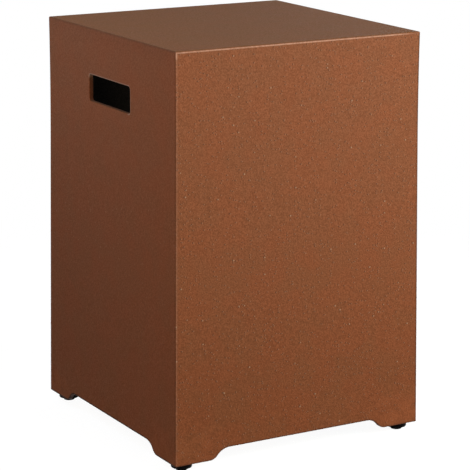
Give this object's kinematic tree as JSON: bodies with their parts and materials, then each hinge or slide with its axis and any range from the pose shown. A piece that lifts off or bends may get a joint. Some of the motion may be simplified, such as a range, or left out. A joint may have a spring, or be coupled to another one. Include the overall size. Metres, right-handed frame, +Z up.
{
  "type": "propane tank cover table",
  "caption": "Square drafted cast cover table for an upright gas tank, open below, with hand-hold slots, arched base cut-outs and screw-adjusted feet.",
  "frame": {"origin": "on the floor, under the middle of the cover, with the feet screwed fully in", "axes": "+Z up; the hand-holds are in the -X and +X walls; -Y is the front"},
  "size_m": [0.4064, 0.4064, 0.594],
  "materials": {
    "cast_finish": "matte",
    "raw_cast": "matte",
    "zinc_steel": "satin",
    "black_plastic": "satin",
    "black_rubber": "matte"
  },
  "bodies": {
    "root": {"cover_shell": "cast_finish", "corner_block_front_left": "raw_cast", "threaded_insert_front_left": "zinc_steel", "corner_block_front_right": "raw_cast", "threaded_insert_front_right": "zinc_steel", "corner_block_rear_right": "raw_cast", "threaded_insert_rear_right": "zinc_steel", "corner_block_rear_left": "raw_cast", "threaded_insert_rear_left": "zinc_steel"},
    "foot_front_left": {"foot_sole_front_left": "black_rubber"},
    "adjuster_front_left": {"foot_disc_front_left": "black_plastic", "stud_front_left": "zinc_steel"},
    "foot_front_right": {"foot_sole_front_right": "black_rubber"},
    "adjuster_front_right": {"foot_disc_front_right": "black_plastic", "stud_front_right": "zinc_steel"},
    "foot_rear_right": {"foot_sole_rear_right": "black_rubber"},
    "adjuster_rear_right": {"foot_disc_rear_right": "black_plastic", "stud_rear_right": "zinc_steel"},
    "foot_rear_left": {"foot_sole_rear_left": "black_rubber"},
    "adjuster_rear_left": {"foot_disc_rear_left": "black_plastic", "stud_rear_left": "zinc_steel"}
  },
  "joints": [
    {"name": "foot_front_left_height", "type": "slide", "parent": "root", "child": "foot_front_left", "axis": [0, 0, -1], "range_m": [0, 0.015]},
    {"name": "adjuster_front_left_turn", "type": "hinge", "parent": "foot_front_left", "child": "adjuster_front_left", "pos_m": [-0.1817, -0.1817, 0.0083], "axis": [0, 0, -1], "range_deg": [0, 4320]},
    {"name": "foot_front_right_height", "type": "slide", "parent": "root", "child": "foot_front_right", "axis": [0, 0, -1], "range_m": [0, 0.015]},
    {"name": "adjuster_front_right_turn", "type": "hinge", "parent": "foot_front_right", "child": "adjuster_front_right", "pos_m": [0.1817, -0.1817, 0.0083], "axis": [0, 0, -1], "range_deg": [0, 4320]},
    {"name": "foot_rear_right_height", "type": "slide", "parent": "root", "child": "foot_rear_right", "axis": [0, 0, -1], "range_m": [0, 0.015]},
    {"name": "adjuster_rear_right_turn", "type": "hinge", "parent": "foot_rear_right", "child": "adjuster_rear_right", "pos_m": [0.1817, 0.1817, 0.0083], "axis": [0, 0, -1], "range_deg": [0, 4320]},
    {"name": "foot_rear_left_height", "type": "slide", "parent": "root", "child": "foot_rear_left", "axis": [0, 0, -1], "range_m": [0, 0.015]},
    {"name": "adjuster_rear_left_turn", "type": "hinge", "parent": "foot_rear_left", "child": "adjuster_rear_left", "pos_m": [-0.1817, 0.1817, 0.0083], "axis": [0, 0, -1], "range_deg": [0, 4320]}
  ],
  "couplings": [
    {"joint": "foot_front_left_height", "follows": "adjuster_front_left_turn", "m_per_rad": 0.00019894},
    {"joint": "foot_front_right_height", "follows": "adjuster_front_right_turn", "m_per_rad": 0.00019894},
    {"joint": "foot_rear_right_height", "follows": "adjuster_rear_right_turn", "m_per_rad": 0.00019894},
    {"joint": "foot_rear_left_height", "follows": "adjuster_rear_left_turn", "m_per_rad": 0.00019894}
  ]
}
